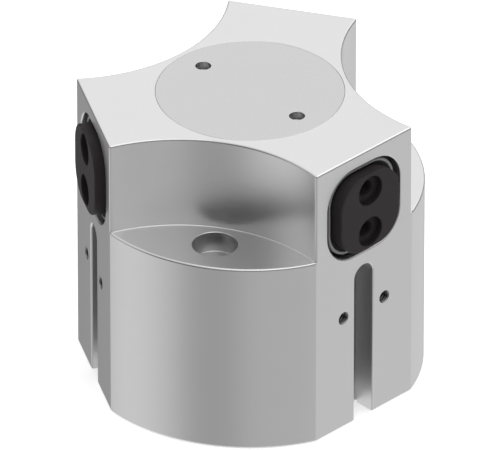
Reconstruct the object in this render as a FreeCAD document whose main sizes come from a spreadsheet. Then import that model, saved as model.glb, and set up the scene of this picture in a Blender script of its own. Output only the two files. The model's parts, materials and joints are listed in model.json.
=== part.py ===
import FreeCAD, Part
import math
import os
import Sketcher
from FreeCAD import Placement, Rotation, Vector

# A three jaw centric gripper, in millimetres.
# The origin is on the body's axis in its bottom face.  +Z points up through the cover disc,
# and the first arm and jaw point along +X; the others follow at 120 and 240 degrees.
# Air drives a piston downward, its wedge driver pulls the three jaws outward together.

SIZES = [
    # Outer form of the housing
    ("body_dia", 80.0),
    ("body_height", 71.2),
    ("arm_width", 30.7),
    ("ledge_drop", 23.0),
    ("pocket_radius", 38.0),
    ("edge_round", 0.45),
    # Screws that hold the gripper down, sunk into the three ledges
    ("bolt_circle", 60.2),
    ("bolt_hole_dia", 5.5),
    ("bolt_head_dia", 10.4),
    ("bolt_head_depth", 5.1),
    # Sensor slots and the threaded holes beside them
    ("slot_width", 5.8),
    ("slot_depth", 6.0),
    ("slot_end_drop", 33.2),
    ("slot_foot_width", 6.8),
    ("slot_foot_depth", 1.1),
    ("side_hole_dia", 2.8),
    ("side_hole_depth", 6.0),
    ("side_hole_pitch", 13.1),
    ("side_hole_drop", 41.8),
    # Dowel holes in the bottom face
    ("dowel_dia", 4.0),
    ("dowel_depth", 6.0),
    # Air ports on the side away from the first arm
    ("port_dia", 4.2),
    ("port_face_dia", 8.4),
    ("port_face_depth", 2.6),
    ("port_depth", 7.0),
    ("port_offset", 10.0),
    ("passage_dia", 1.8),
    # Jaw channels, wipers and guide sleeves
    ("channel_width", 23.0),
    ("channel_corner", 8.0),
    ("jaw_drop", 15.0),
    ("jaw_width", 18.6),
    ("jaw_height", 19.4),
    ("jaw_corner", 6.9),
    ("jaw_standout", 2.0),
    ("jaw_edge", 0.6),
    ("jaw_hole_pitch", 10.9),
    ("jaw_hole_dia", 4.0),
    ("jaw_hole_depth", 11.0),
    ("jaw_recess_dia", 7.1),
    ("jaw_recess_depth", 1.5),
    ("wiper_depth", 5.0),
    ("wiper_sunk", 1.0),
    ("wiper_groove_depth", 1.5),
    ("wiper_rim_width", 0.95),
    ("wiper_rim_gap", 0.25),
    ("lip_thickness", 0.5),
    ("lip_depth", 3.2),
    ("lip_sunk", 0.6),
    ("slide_gap", 0.1),
    ("seat_gap", 0.03),
    # Wedge drive
    ("wedge_slope", 0.6),
    ("piston_stroke", 10.0),
    ("flank_start", 8.0),
    ("flank_gap", 0.1),
    ("hook_neck_width", 5.0),
    ("hook_neck_depth", 2.2),
    ("hook_head_width", 8.0),
    ("hook_head_depth", 2.2),
    ("hook_end_gap", 0.4),
    ("driver_base", 1.0),
    ("rod_dia", 14.0),
    # Driver cavity and cover
    ("cavity_dia", 40.0),
    ("driver_gap", 0.36),
    ("cavity_spare", 0.54),
    ("cover_rim", 1.65),
    ("cover_thickness", 2.8),
    ("cover_spigot", 1.6),
    ("cover_seal_thickness", 0.4),
    ("cover_joint", 0.05),
    ("spanner_dia", 3.6),
    ("spanner_pitch", 30.4),
    ("spanner_depth", 2.0),
    # Bearing wall between the driver cavity and the piston bore
    ("wall_thickness", 7.5),
    ("bush_thickness", 1.5),
    ("bush_length", 4.2),
    ("rod_run_gap", 0.05),
    ("rod_seal_width", 3.0),
    ("rod_seal_height", 2.0),
    ("rod_seal_land", 0.7),
    # Piston and its bore
    ("bore_dia", 46.0),
    ("piston_thickness", 10.0),
    ("piston_run_gap", 0.1),
    ("piston_end_gap", 0.3),
    ("piston_chamfer", 1.2),
    ("piston_seal_height", 2.0),
    ("piston_seal_width", 2.6),
    ("piston_land", 1.3),
    ("magnet_height", 2.4),
    ("magnet_width", 2.2),
    ("rod_socket_depth", 3.0),
    ("screw_dia", 6.0),
    ("screw_length", 14.0),
    ("screw_head_dia", 10.0),
    ("screw_head_height", 4.0),
    ("screw_recess_depth", 4.6),
    ("screw_hex", 5.0),
    # End cap and what holds it
    ("cap_dia", 48.0),
    ("cap_thickness", 5.0),
    ("cap_seal_width", 2.0),
    ("cap_seal_height", 2.0),
    ("ring_thickness", 1.2),
    ("ring_inner_dia", 42.0),
    ("ring_groove_dia", 50.4),
    ("ring_gap_angle", 24.0),
]

doc = FreeCAD.newDocument("CentricGripper")
sheet = doc.addObject("Spreadsheet::Sheet", "Dim")
for row, (name, value) in enumerate(SIZES, start=1):
    sheet.set("A%d" % row, str(value))
    sheet.setAlias("A%d" % row, name)
doc.recompute()

# Places worked out from the sizes, as expressions.  Heights are measured from the bottom face
# and reaches from the axis.
FACE = "(sqrt((Dim.body_dia / 2)^2 - (Dim.arm_width / 2)^2))"
CORNER = "(" + FACE + " * cos(60) + Dim.arm_width / 2 * sin(60))"
POCKET = "(" + CORNER + " + sqrt(" + CORNER + "^2 - (Dim.body_dia / 2)^2 + Dim.pocket_radius^2))"
LEDGE = "(Dim.body_height - Dim.ledge_drop)"
JAW_MID = "(Dim.body_height - Dim.jaw_drop)"
JAW_LOW = "(" + JAW_MID + " - Dim.jaw_height / 2)"
JAW_TOP = "(" + JAW_MID + " + Dim.jaw_height / 2)"
JAW_FRONT = "(" + FACE + " + Dim.jaw_standout)"
SLEEVE_END = "(" + FACE + " - Dim.wiper_depth)"
DRIVER_LOW = "(" + JAW_LOW + " - Dim.driver_base)"
DRIVER_RADIUS = "(Dim.cavity_dia / 2 - Dim.driver_gap)"
CAVITY_LOW = "(" + DRIVER_LOW + " - Dim.piston_stroke - Dim.cavity_spare)"
WALL_LOW = "(" + CAVITY_LOW + " - Dim.wall_thickness)"
COVER_SEAT = "(Dim.body_height - Dim.cover_thickness - Dim.cover_seal_thickness)"
COVER_BORE = "(Dim.cavity_dia / 2 + Dim.cover_rim)"
PISTON_TOP = "(" + WALL_LOW + " - Dim.piston_end_gap)"
PISTON_LOW = "(" + PISTON_TOP + " - Dim.piston_thickness)"
CAP_TOP = "(" + PISTON_LOW + " - Dim.piston_stroke - Dim.piston_end_gap)"
CAP_LOW = "(" + CAP_TOP + " - Dim.cap_thickness)"
RING_LOW = "(" + CAP_LOW + " - Dim.ring_thickness)"
ROD_LOW = "(" + PISTON_TOP + " - Dim.rod_socket_depth)"
PISTON_RADIUS = "(Dim.bore_dia / 2 - Dim.piston_run_gap)"
BUSH_LOW = "(" + CAVITY_LOW + " - Dim.bush_length)"
ROD_SEAL_LOW = "(" + WALL_LOW + " + Dim.rod_seal_land)"
WIPER_FRONT = "(" + FACE + " - Dim.wiper_sunk)"

ARM_ANGLES = (0, 120, 240)


def number(text):
    """The present value of an expression."""
    return float(sheet.evalExpression(text))


def flank(height, inset="0"):
    """Reach of the inclined flank at a height, moved toward the axis by the inset."""
    return "(Dim.flank_start + Dim.wedge_slope * (%s - %s) - (%s))" % (height, JAW_LOW, inset)


def origin_part(body, role):
    return [part for part in body.Origin.OriginFeatures if part.Role == role][0]


def new_body(label):
    body = doc.addObject("PartDesign::Body", label)
    body.Label = label
    return body


def new_sketch(body, role, offset="0"):
    """A sketch on one of the body's own origin planes, moved along the plane's normal."""
    sketch = body.newObject("Sketcher::SketchObject", body.Name + "_sketch")
    sketch.AttachmentSupport = (origin_part(body, role), [""])
    sketch.MapMode = "FlatFace"
    sketch.setExpression("AttachmentOffset.Base.z", offset)
    return sketch


def tie(sketch, constraint, text):
    place = sketch.addConstraint(constraint)
    sketch.setExpression("Constraints[%d]" % place, text)


def pin(sketch, edge, end, across, up):
    """Ties an end of an edge, or the centre of a circle, to a place."""
    spot = sketch.getPoint(edge, end)
    tie(sketch, Sketcher.Constraint("DistanceX", -1, 1, edge, end, spot.x), across)
    tie(sketch, Sketcher.Constraint("DistanceY", -1, 1, edge, end, spot.y), up)


def draw_circle(sketch, across, up, radius):
    centre = Vector(number(across), number(up), 0)
    edge = sketch.addGeometry(Part.Circle(centre, Vector(0, 0, 1), number(radius)), False)
    pin(sketch, edge, 3, across, up)
    tie(sketch, Sketcher.Constraint("Radius", edge, number(radius)), radius)


def draw_outline(sketch, corners):
    """A closed outline, counterclockwise.  A corner is its place across and up, and a third
    value is the radius of the outward arc that leads from it to the next corner."""
    spots = [Vector(number(corner[0]), number(corner[1]), 0) for corner in corners]
    edges = []
    for index, corner in enumerate(corners):
        start = spots[index]
        end = spots[(index + 1) % len(spots)]
        if len(corner) == 2:
            edge = sketch.addGeometry(Part.LineSegment(start, end), False)
            edges.append((edge, 1, 2))
            continue
        radius = number(corner[2])
        middle = (start + end) * 0.5
        along = (end - start).normalize()
        outward = Vector(along.y, -along.x, 0)
        rise = radius - math.sqrt(radius ** 2 - ((end - start).Length / 2) ** 2)
        edge = sketch.addGeometry(Part.Arc(start, middle + outward * rise, end), False)
        edges.append((edge, 1, 2))
        tie(sketch, Sketcher.Constraint("Radius", edge, radius), corner[2])
    for index, (edge, first, last) in enumerate(edges):
        following = edges[(index + 1) % len(edges)]
        pin(sketch, edge, first, corners[index][0], corners[index][1])
        sketch.addConstraint(Sketcher.Constraint("Coincident", edge, last, following[0], following[1]))


def draw_box(sketch, left, low, right, top):
    draw_outline(sketch, [(left, low), (right, low), (right, top), (left, top)])


def draw_square(sketch, middle, width, height, corner):
    """A rounded rectangle about the vertical line through the sketch's origin."""
    side = "((%s) / 2)" % width
    low = "(%s - (%s) / 2)" % (middle, height)
    top = "(%s + (%s) / 2)" % (middle, height)
    draw_outline(sketch, [
        ("-%s + %s" % (side, corner), low),
        ("%s - %s" % (side, corner), low, corner),
        (side, "%s + %s" % (low, corner)),
        (side, "%s - %s" % (top, corner), corner),
        ("%s - %s" % (side, corner), top),
        ("-%s + %s" % (side, corner), top, corner),
        ("-%s" % side, "%s - %s" % (top, corner)),
        ("-%s" % side, "%s + %s" % (low, corner), corner),
    ])


def volume(body):
    doc.recompute()
    return body.Shape.Volume


def pad(body, sketch, length, both_ways=False):
    feature = body.newObject("PartDesign::Pad", body.Name + "_pad")
    feature.Profile = sketch
    feature.setExpression("Length", length)
    if both_ways:
        feature.SideType = "Symmetric"
    doc.recompute()
    return feature


def pocket(body, sketch, depth, both_ways=False, along_normal=False):
    """Cuts a sketch out of the body, and makes sure that it took something away."""
    before = volume(body)
    feature = body.newObject("PartDesign::Pocket", body.Name + "_pocket")
    feature.Profile = sketch
    feature.setExpression("Length", depth)
    feature.Reversed = along_normal
    if both_ways:
        feature.SideType = "Symmetric"
    if volume(body) >= before:
        raise RuntimeError(body.Label + ": a cut took nothing away")
    return feature


def revolve(body, sketch, cut=False):
    kind = "Groove" if cut else "Revolution"
    feature = body.newObject("PartDesign::" + kind, body.Name + "_turned")
    feature.Profile = sketch
    feature.ReferenceAxis = (sketch, ["V_Axis"])
    feature.Angle = 360
    doc.recompute()
    return feature


def around(body, features, count=3):
    """Repeats features round the body's axis."""
    feature = body.newObject("PartDesign::PolarPattern", body.Name + "_round")
    feature.Originals = features
    feature.Axis = (origin_part(body, "Z_Axis"), [""])
    feature.Angle = 360
    feature.Occurrences = count
    body.Tip = feature
    doc.recompute()
    return feature


def turned(label, corners):
    """A turned piece from half of its section."""
    body = new_body(label)
    sketch = new_sketch(body, "XZ_Plane")
    draw_outline(sketch, corners)
    revolve(body, sketch)
    return body


def ring_section(inner, low, outer, top):
    return [(inner, low), (outer, low), (outer, top), (inner, top)]


def edges_at(body, test):
    return ["Edge%d" % place for place, edge in enumerate(body.Shape.Edges, start=1) if test(edge)]


def fillet(body, names, radius):
    base = body.Tip
    feature = body.newObject("PartDesign::Fillet", body.Name + "_fillet")
    feature.Base = (base, names)
    feature.setExpression("Radius", radius)
    body.Tip = feature
    doc.recompute()
    return feature


# Housing
housing = new_body("housing")

sketch = new_sketch(housing, "XY_Plane")
outer = []
for angle in ARM_ANGLES:
    for side, radius in (("-", None), ("+", "Dim.body_dia / 2")):
        opposite = "+" if side == "-" else "-"
        across = "%s * cos(%d) %s Dim.arm_width / 2 * sin(%d)" % (FACE, angle, opposite, angle)
        up = "%s * sin(%d) %s Dim.arm_width / 2 * cos(%d)" % (FACE, angle, side, angle)
        outer.append((across, up, radius) if radius else (across, up))
draw_outline(sketch, outer)
pad(housing, sketch, "Dim.body_height")

sketch = new_sketch(housing, "XY_Plane", LEDGE)
draw_circle(sketch, POCKET + " * cos(60)", POCKET + " * sin(60)", "Dim.pocket_radius")
screw_pocket = pocket(housing, sketch, "Dim.ledge_drop", along_normal=True)
around(housing, [screw_pocket])


def arm_edge(edge):
    """The rim of the top face and the upright edges between the arms and the screw pockets."""
    low = edge.BoundBox.ZMin
    high = edge.BoundBox.ZMax
    if low < number(LEDGE) - 0.01:
        return False
    return high > number("Dim.body_height") - 0.01


fillet(housing, edges_at(housing, arm_edge), "Dim.edge_round")

sketch = new_sketch(housing, "XZ_Plane")
RING_GROOVE = "(Dim.ring_groove_dia / 2)"
draw_outline(sketch, [
    ("0", "0"),
    ("Dim.cap_dia / 2", "0"),
    ("Dim.cap_dia / 2", RING_LOW),
    (RING_GROOVE, RING_LOW),
    (RING_GROOVE, CAP_LOW),
    ("Dim.cap_dia / 2", CAP_LOW),
    ("Dim.cap_dia / 2", CAP_TOP),
    ("Dim.bore_dia / 2", CAP_TOP),
    ("Dim.bore_dia / 2", WALL_LOW),
    ("Dim.rod_dia / 2 + Dim.rod_seal_land / 2", WALL_LOW),
    ("Dim.rod_dia / 2 + Dim.rod_seal_land / 2", ROD_SEAL_LOW),
    ("Dim.rod_dia / 2 + Dim.rod_seal_width", ROD_SEAL_LOW),
    ("Dim.rod_dia / 2 + Dim.rod_seal_width", ROD_SEAL_LOW + " + Dim.rod_seal_height"),
    ("Dim.rod_dia / 2 + Dim.rod_seal_land / 2", ROD_SEAL_LOW + " + Dim.rod_seal_height"),
    ("Dim.rod_dia / 2 + Dim.rod_seal_land / 2", BUSH_LOW),
    ("Dim.rod_dia / 2 + Dim.rod_run_gap + Dim.bush_thickness", BUSH_LOW),
    ("Dim.rod_dia / 2 + Dim.rod_run_gap + Dim.bush_thickness", CAVITY_LOW),
    ("Dim.cavity_dia / 2", CAVITY_LOW),
    ("Dim.cavity_dia / 2", COVER_SEAT),
    (COVER_BORE, COVER_SEAT),
    (COVER_BORE, "Dim.body_height"),
    ("0", "Dim.body_height"),
])
revolve(housing, sketch, cut=True)

sketch = new_sketch(housing, "YZ_Plane")
draw_square(sketch, JAW_MID, "Dim.channel_width", "Dim.channel_width", "Dim.channel_corner")
channel = pocket(housing, sketch, "Dim.body_dia / 2", along_normal=True)
around(housing, [channel])

sketch = new_sketch(housing, "XY_Plane")
draw_circle(sketch, "Dim.bolt_circle / 2 * cos(60)", "Dim.bolt_circle / 2 * sin(60)",
            "Dim.bolt_hole_dia / 2")
bolt_hole = pocket(housing, sketch, LEDGE, along_normal=True)
sketch = new_sketch(housing, "XY_Plane", LEDGE)
draw_circle(sketch, "Dim.bolt_circle / 2 * cos(60)", "Dim.bolt_circle / 2 * sin(60)",
            "Dim.bolt_head_dia / 2")
bolt_head = pocket(housing, sketch, "Dim.bolt_head_depth")
around(housing, [bolt_hole, bolt_head])

SLOT_END = "(Dim.body_height - Dim.slot_end_drop)"
sketch = new_sketch(housing, "YZ_Plane", FACE)
draw_box(sketch, "-Dim.slot_width / 2", "0", "Dim.slot_width / 2", SLOT_END)
slot = pocket(housing, sketch, "Dim.slot_depth")
sketch = new_sketch(housing, "YZ_Plane", FACE)
draw_circle(sketch, "0", SLOT_END, "Dim.slot_width / 2")
slot_end = pocket(housing, sketch, "Dim.slot_depth")
sketch = new_sketch(housing, "YZ_Plane", FACE + " - Dim.slot_depth")
draw_box(sketch, "-Dim.slot_foot_width / 2", "0", "Dim.slot_foot_width / 2", SLOT_END)
slot_foot = pocket(housing, sketch, "Dim.slot_foot_depth", along_normal=True)
sketch = new_sketch(housing, "YZ_Plane", FACE)
for side in ("-", "+"):
    draw_circle(sketch, side + "Dim.side_hole_pitch / 2", "Dim.body_height - Dim.side_hole_drop",
                "Dim.side_hole_dia / 2")
side_holes = pocket(housing, sketch, "Dim.side_hole_depth")
around(housing, [slot, slot_end, slot_foot, side_holes])

sketch = new_sketch(housing, "XY_Plane")
for turn in (30, 210):
    draw_circle(sketch, "Dim.bolt_circle / 2 * cos(%d)" % turn,
                "Dim.bolt_circle / 2 * sin(%d)" % turn, "Dim.dowel_dia / 2")
pocket(housing, sketch, "Dim.dowel_depth", along_normal=True)

PORT_FACE = "(-Dim.body_dia / 2 + Dim.port_face_depth)"
PORT_LOW = "(" + CAP_TOP + " + Dim.passage_dia / 2 + 0.1)"
PORT_TOP = "(" + WALL_LOW + " - Dim.passage_dia / 2 - 0.1)"
PORTS = (("-Dim.port_offset", PORT_LOW), ("Dim.port_offset", PORT_TOP))
sketch = new_sketch(housing, "YZ_Plane", "-Dim.body_dia / 2")
for across, up in PORTS:
    draw_circle(sketch, across, up, "Dim.port_face_dia / 2")
pocket(housing, sketch, "Dim.port_face_depth", along_normal=True)
sketch = new_sketch(housing, "YZ_Plane", PORT_FACE)
for across, up in PORTS:
    draw_circle(sketch, across, up, "Dim.port_dia / 2")
pocket(housing, sketch, "Dim.port_depth", along_normal=True)
sketch = new_sketch(housing, "YZ_Plane", PORT_FACE)
for across, up in PORTS:
    draw_circle(sketch, across, up, "Dim.passage_dia / 2")
pocket(housing, sketch, "Dim.body_dia / 4", along_normal=True)

# Cover disc, screwed into the top with a pin spanner, and the flat seal under its rim
COVER_RADIUS = "(" + COVER_BORE + " - Dim.cover_joint)"
RIM_LOW = "(" + COVER_SEAT + " + Dim.cover_seal_thickness)"
cover = turned("cover_disc", [
    ("0", COVER_SEAT + " - Dim.cover_spigot"),
    ("Dim.cavity_dia / 2 - Dim.driver_gap", COVER_SEAT + " - Dim.cover_spigot"),
    ("Dim.cavity_dia / 2 - Dim.driver_gap", RIM_LOW),
    (COVER_RADIUS, RIM_LOW),
    (COVER_RADIUS, "Dim.body_height"),
    ("0", "Dim.body_height"),
])
sketch = new_sketch(cover, "XY_Plane", "Dim.body_height")
for side in ("-", "+"):
    draw_circle(sketch, side + "Dim.spanner_pitch / 2", "0", "Dim.spanner_dia / 2")
pocket(cover, sketch, "Dim.spanner_depth")

cover_seal = turned("cover_seal", ring_section(
    "Dim.cavity_dia / 2 - Dim.driver_gap + Dim.seat_gap", COVER_SEAT, COVER_RADIUS, RIM_LOW))


def make_sleeve(label):
    """Hardened sleeve that the jaw slides in."""
    body = new_body(label)
    start = "Dim.cavity_dia / 2 + Dim.driver_gap"
    fit = "Dim.channel_width - 2 * Dim.seat_gap"
    sketch = new_sketch(body, "YZ_Plane", start)
    draw_square(sketch, JAW_MID, fit, fit, "(Dim.channel_corner - Dim.seat_gap)")
    draw_square(sketch, JAW_MID, "Dim.jaw_width + 2 * Dim.slide_gap",
                "Dim.jaw_height + 2 * Dim.slide_gap", "(Dim.jaw_corner + Dim.slide_gap)")
    pad(body, sketch, SLEEVE_END + " - (" + start + ")")
    return body


def make_wiper_frame(label):
    """Grey frame that carries the wiper lip, with its raised rim round the jaw."""
    body = new_body(label)
    fit = "Dim.channel_width - 2 * Dim.seat_gap"
    rim_gap = "(Dim.wiper_rim_gap)"
    rim_out = "(Dim.wiper_rim_gap + Dim.wiper_rim_width)"
    rim_root = "(" + WIPER_FRONT + " - Dim.wiper_groove_depth)"
    sketch = new_sketch(body, "YZ_Plane", SLEEVE_END)
    draw_square(sketch, JAW_MID, fit, fit, "(Dim.channel_corner - Dim.seat_gap)")
    pad(body, sketch, rim_root + " - " + SLEEVE_END)
    sketch = new_sketch(body, "YZ_Plane", rim_root)
    draw_square(sketch, JAW_MID, "Dim.jaw_width + 2 * " + rim_out,
                "Dim.jaw_height + 2 * " + rim_out, "(Dim.jaw_corner - Dim.wiper_rim_gap)")
    pad(body, sketch, "Dim.wiper_groove_depth")
    sketch = new_sketch(body, "YZ_Plane", SLEEVE_END)
    draw_square(sketch, JAW_MID, "Dim.jaw_width + 2 * " + rim_gap,
                "Dim.jaw_height + 2 * " + rim_gap, "(Dim.jaw_corner - Dim.wiper_rim_gap)")
    pocket(body, sketch, "Dim.wiper_depth", along_normal=True)
    lip_out = "(Dim.slide_gap + Dim.lip_thickness + Dim.seat_gap)"
    sketch = new_sketch(body, "YZ_Plane", WIPER_FRONT + " - Dim.lip_sunk")
    draw_square(sketch, JAW_MID, "Dim.jaw_width + 2 * " + lip_out,
                "Dim.jaw_height + 2 * " + lip_out, "(Dim.jaw_corner + " + lip_out + ")")
    pocket(body, sketch, "Dim.lip_depth")
    return body


def make_wiper_lip(label):
    """Rubber lip that strips dirt from the jaw."""
    body = new_body(label)
    inner = "Dim.slide_gap"
    outer = "(Dim.slide_gap + Dim.lip_thickness)"
    sketch = new_sketch(body, "YZ_Plane", WIPER_FRONT + " - Dim.lip_sunk - Dim.lip_depth")
    draw_square(sketch, JAW_MID, "Dim.jaw_width + 2 * " + outer,
                "Dim.jaw_height + 2 * " + outer, "(Dim.jaw_corner + " + outer + ")")
    draw_square(sketch, JAW_MID, "Dim.jaw_width + 2 * " + inner,
                "Dim.jaw_height + 2 * " + inner, "(Dim.jaw_corner + " + inner + ")")
    pad(body, sketch, "Dim.lip_depth")
    return body


def hook_section(near, far, low, top):
    """A strip that runs beside the flank, between two insets from it."""
    return [(flank(low, far), low), (flank(low, near), low), (flank(top, near), top),
            (flank(top, far), top)]


def make_jaw(label):
    """Square jaw with a T hook along its inclined inner end."""
    body = new_body(label)
    sketch = new_sketch(body, "YZ_Plane", "Dim.flank_start / 2")
    draw_square(sketch, JAW_MID, "Dim.jaw_width", "Dim.jaw_height", "Dim.jaw_corner")
    pad(body, sketch, JAW_FRONT + " - Dim.flank_start / 2")
    sketch = new_sketch(body, "XZ_Plane")
    low = JAW_LOW + " - 1"
    top = JAW_TOP + " + 1"
    gap = "-Dim.flank_gap"
    draw_outline(sketch, [("0", low), (flank(low, gap), low), (flank(top, gap), top), ("0", top)])
    pocket(body, sketch, "2 * Dim.jaw_width", both_ways=True)
    depth = "(Dim.hook_neck_depth + Dim.hook_head_depth)"
    low = JAW_LOW + " + Dim.hook_end_gap"
    top = JAW_TOP + " - Dim.hook_end_gap"
    sketch = new_sketch(body, "XZ_Plane")
    draw_outline(sketch, hook_section("-Dim.jaw_edge", depth, low, top))
    pad(body, sketch, "Dim.hook_neck_width", both_ways=True)
    sketch = new_sketch(body, "XZ_Plane")
    draw_outline(sketch, hook_section("Dim.hook_neck_depth", depth, low, top))
    pad(body, sketch, "Dim.hook_head_width", both_ways=True)
    sketch = new_sketch(body, "YZ_Plane", JAW_FRONT)
    for side in ("-", "+"):
        draw_circle(sketch, "0", "%s %s Dim.jaw_hole_pitch / 2" % (JAW_MID, side),
                    "Dim.jaw_recess_dia / 2")
    pocket(body, sketch, "Dim.jaw_recess_depth")
    sketch = new_sketch(body, "YZ_Plane", JAW_FRONT)
    for side in ("-", "+"):
        draw_circle(sketch, "0", "%s %s Dim.jaw_hole_pitch / 2" % (JAW_MID, side),
                    "Dim.jaw_hole_dia / 2")
    pocket(body, sketch, "Dim.jaw_recess_depth + Dim.jaw_hole_depth")
    front = number(JAW_FRONT)
    reach = number("Dim.jaw_recess_dia") / 2 + 0.01

    def on_front_rim(edge):
        box = edge.BoundBox
        flat = abs(box.XMin - front) < 1e-6 and abs(box.XMax - front) < 1e-6
        hole = edge.Curve.TypeId == "Part::GeomCircle" and edge.Curve.Radius < reach
        return flat and not (hole and abs(edge.Curve.Center.y) < 1e-6)

    fillet(body, edges_at(body, on_front_rim), "Dim.jaw_edge")
    return body


for place, angle in enumerate(ARM_ANGLES, start=1):
    turn = Placement(Vector(), Rotation(Vector(0, 0, 1), angle))
    for make, name in ((make_sleeve, "guide_sleeve"), (make_wiper_frame, "wiper_frame"),
                       (make_wiper_lip, "wiper_lip"), (make_jaw, "jaw")):
        body = make("%s_%d" % (name, place))
        body.Placement = turn

# Wedge driver and its rod, turned first, then cut by three flanks and three hook slots
driver = turned("wedge_driver", [
    ("0", ROD_LOW),
    ("Dim.rod_dia / 2", ROD_LOW),
    ("Dim.rod_dia / 2", DRIVER_LOW),
    (DRIVER_RADIUS, DRIVER_LOW),
    (DRIVER_RADIUS, JAW_TOP),
    ("0", JAW_TOP),
])
low = DRIVER_LOW + " - 0.5"
top = JAW_TOP + " + 0.5"
sketch = new_sketch(driver, "XZ_Plane")
draw_outline(sketch, [
    (flank(low), low), ("Dim.cavity_dia", low), ("Dim.cavity_dia", top), (flank(top), top)])
flank_cut = pocket(driver, sketch, "2 * Dim.cavity_dia", both_ways=True)
SLOT_LOW = "(" + JAW_LOW + " - 3 * Dim.flank_gap)"
sketch = new_sketch(driver, "XZ_Plane")
draw_outline(sketch, hook_section("-Dim.driver_base", "Dim.hook_neck_depth + Dim.flank_gap", SLOT_LOW, top))
neck_cut = pocket(driver, sketch, "Dim.hook_neck_width + 2 * Dim.flank_gap", both_ways=True)
sketch = new_sketch(driver, "XZ_Plane")
draw_outline(sketch, hook_section(
    "Dim.hook_neck_depth - Dim.flank_gap",
    "Dim.hook_neck_depth + Dim.hook_head_depth + Dim.flank_gap", SLOT_LOW, top))
head_cut = pocket(driver, sketch, "Dim.hook_head_width + 2 * Dim.flank_gap", both_ways=True)
around(driver, [flank_cut, neck_cut, head_cut])
sketch = new_sketch(driver, "XY_Plane", ROD_LOW)
draw_circle(sketch, "0", "0", "Dim.screw_dia / 2 + Dim.seat_gap")
pocket(driver, sketch, "Dim.screw_length", along_normal=True)

# Bush and seal of the rod
turned("rod_bush", ring_section(
    "Dim.rod_dia / 2 + Dim.rod_run_gap", BUSH_LOW,
    "Dim.rod_dia / 2 + Dim.rod_run_gap + Dim.bush_thickness - Dim.seat_gap", CAVITY_LOW))
turned("rod_seal", ring_section(
    "Dim.rod_dia / 2 + Dim.slide_gap", ROD_SEAL_LOW + " + Dim.seat_gap",
    "Dim.rod_dia / 2 + Dim.rod_seal_width - Dim.seat_gap",
    ROD_SEAL_LOW + " + Dim.rod_seal_height - Dim.seat_gap"))

# Piston with its two seals, magnet band and screw
SEAL_FLOOR = "(" + PISTON_RADIUS + " - Dim.piston_seal_width)"
MAGNET_FLOOR = "(" + PISTON_RADIUS + " - Dim.magnet_width)"
LOW_SEAL = "(" + PISTON_LOW + " + Dim.piston_land)"
TOP_SEAL = "(" + PISTON_TOP + " - Dim.piston_land - Dim.piston_seal_height)"
MAGNET = "(" + PISTON_LOW + " + Dim.piston_thickness / 2 - Dim.magnet_height / 2)"
RECESS_RADIUS = "(Dim.screw_head_dia / 2 + 3 * Dim.slide_gap)"
SOCKET_RADIUS = "(Dim.rod_dia / 2 + Dim.seat_gap)"
CLEAR_RADIUS = "(Dim.screw_dia / 2 + 2 * Dim.slide_gap)"
piston_corners = [
    (RECESS_RADIUS, PISTON_LOW),
    (PISTON_RADIUS + " - Dim.piston_chamfer", PISTON_LOW),
    (PISTON_RADIUS, PISTON_LOW + " + Dim.piston_chamfer"),
]
for floor, height, low in ((SEAL_FLOOR, "Dim.piston_seal_height", LOW_SEAL),
                           (MAGNET_FLOOR, "Dim.magnet_height", MAGNET),
                           (SEAL_FLOOR, "Dim.piston_seal_height", TOP_SEAL)):
    high = low + " + " + height
    piston_corners += [(PISTON_RADIUS, low), (floor, low), (floor, high), (PISTON_RADIUS, high)]
piston_corners += [
    (PISTON_RADIUS, PISTON_TOP + " - Dim.piston_chamfer"),
    (PISTON_RADIUS + " - Dim.piston_chamfer", PISTON_TOP),
    (SOCKET_RADIUS, PISTON_TOP),
    (SOCKET_RADIUS, ROD_LOW),
    (CLEAR_RADIUS, ROD_LOW),
    (CLEAR_RADIUS, PISTON_LOW + " + Dim.screw_recess_depth"),
    (RECESS_RADIUS, PISTON_LOW + " + Dim.screw_recess_depth"),
]
turned("piston", piston_corners)
for label, low in (("piston_seal_lower", LOW_SEAL), ("piston_seal_upper", TOP_SEAL)):
    turned(label, ring_section(
        SEAL_FLOOR + " + Dim.seat_gap", low + " + Dim.seat_gap", PISTON_RADIUS,
        low + " + Dim.piston_seal_height - Dim.seat_gap"))
turned("magnet_band", ring_section(
    MAGNET_FLOOR + " + Dim.seat_gap", MAGNET + " + Dim.seat_gap",
    PISTON_RADIUS + " - Dim.slide_gap", MAGNET + " + Dim.magnet_height - Dim.seat_gap"))

HEAD_TOP = "(" + PISTON_LOW + " + Dim.screw_recess_depth)"
screw = turned("piston_screw", [
    ("0", HEAD_TOP + " - Dim.screw_head_height"),
    ("Dim.screw_head_dia / 2", HEAD_TOP + " - Dim.screw_head_height"),
    ("Dim.screw_head_dia / 2", HEAD_TOP),
    ("Dim.screw_dia / 2", HEAD_TOP),
    ("Dim.screw_dia / 2", HEAD_TOP + " + Dim.screw_length"),
    ("0", HEAD_TOP + " + Dim.screw_length"),
])
sketch = new_sketch(screw, "XY_Plane", HEAD_TOP + " - Dim.screw_head_height")
hexagon = []
for turn in range(0, 360, 60):
    reach = "Dim.screw_hex / 2 / cos(30)"
    hexagon.append((reach + " * cos(%d)" % turn, reach + " * sin(%d)" % turn))
draw_outline(sketch, hexagon)
pocket(screw, sketch, "Dim.screw_head_height / 2", along_normal=True)

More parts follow.
